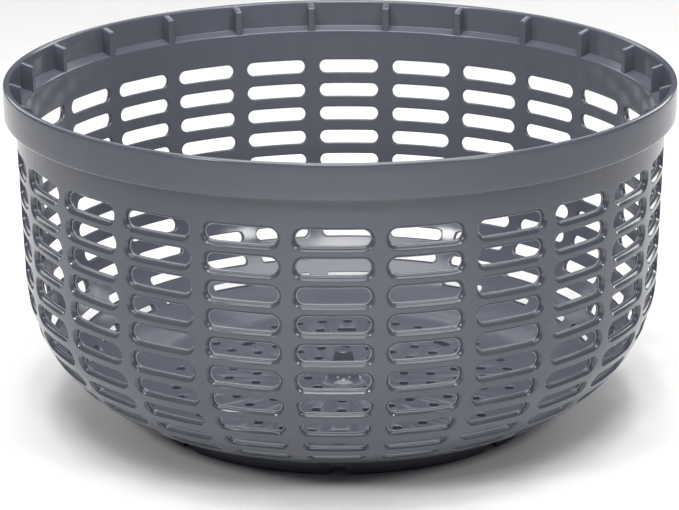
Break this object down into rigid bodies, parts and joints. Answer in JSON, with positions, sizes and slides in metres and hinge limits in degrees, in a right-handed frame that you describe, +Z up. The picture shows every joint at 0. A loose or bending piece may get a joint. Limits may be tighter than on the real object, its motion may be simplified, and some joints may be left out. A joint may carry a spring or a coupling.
{
  "type": "salad spinner basket",
  "caption": "Round slotted plastic salad spinner basket with a banded rim, drive ribs inside it, a drained floor with a centre boss and a ring foot",
  "frame": {"origin": "centre of the foot's bottom plane, on the basket's turning axis", "axes": "+Z up along the turning axis, -Y through the middle of the front column of slots, +X to the right seen from the front"},
  "size_m": [0.244, 0.244, 0.1268],
  "materials": {
    "basket_plastic": "smooth satin gloss, cool mid grey"
  },
  "bodies": {
    "root": {"rim_band": "basket_plastic", "drive_ribs": "basket_plastic", "side_wall": "basket_plastic", "lower_shell": "basket_plastic", "floor_plate": "basket_plastic", "pivot_boss": "basket_plastic", "foot_ring": "basket_plastic"}
  },
  "joints": []
}
